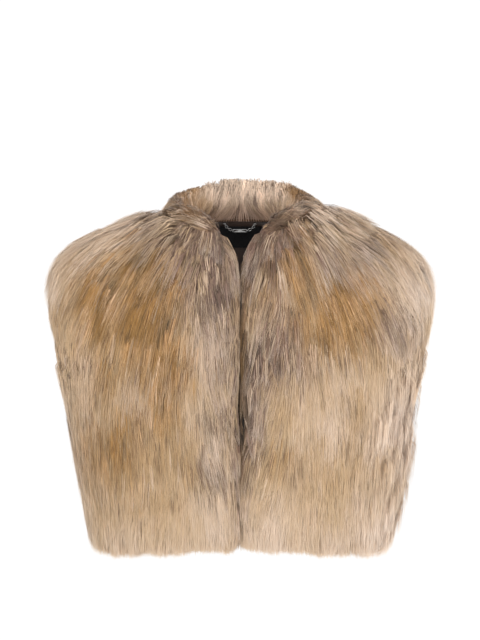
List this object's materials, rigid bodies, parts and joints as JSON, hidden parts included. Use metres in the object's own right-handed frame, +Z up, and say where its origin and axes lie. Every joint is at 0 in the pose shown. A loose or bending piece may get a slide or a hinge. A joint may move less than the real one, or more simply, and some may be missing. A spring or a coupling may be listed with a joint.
{
  "type": "fur vest",
  "caption": "Cropped sleeveless long-haired fur vest in its worn, hollow form, with a low stand collar, open armholes, neck and hem, and a small chain hanger inside the neck.",
  "frame": {"origin": "the centre of the neck at the level where the shoulders carry the vest", "axes": "+Z up along the wearer, the front faces -Y, +X is to the viewer's right (the wearer's left)"},
  "size_m": [0.508, 0.3025, 0.5055],
  "materials": {
    "pelt": "suede flesh side of the pelt, matte",
    "fur": "long soft fur, beige and golden tan with ash-brown streaks and cream tips",
    "lining": "dark brown satin",
    "label": "plain black woven ribbon, blank",
    "metal": "polished silver-coloured metal"
  },
  "bodies": {
    "vest": {"front_left": "pelt", "front_left_pile": "fur", "front_right": "pelt", "front_right_pile": "fur", "back": "pelt", "back_pile": "fur", "collar": "pelt", "collar_pile": "fur", "lining_back": "lining", "label": "label", "hanger_staple_left": "metal", "hanger_staple_right": "metal"},
    "hanger": {"hanger_bar": "metal", "hanger_link_left_1": "metal", "hanger_link_left_2": "metal", "hanger_link_left_3": "metal", "hanger_link_left_4": "metal", "hanger_link_left_5": "metal", "hanger_link_right_1": "metal", "hanger_link_right_2": "metal", "hanger_link_right_3": "metal", "hanger_link_right_4": "metal", "hanger_link_right_5": "metal"}
  },
  "joints": [
    {"name": "hanger_swing", "type": "hinge", "parent": "vest", "child": "hanger", "pos_m": [0, 0.06405, -0.003], "axis": [-1, 0, 0], "range_deg": [-35, 150]}
  ]
}
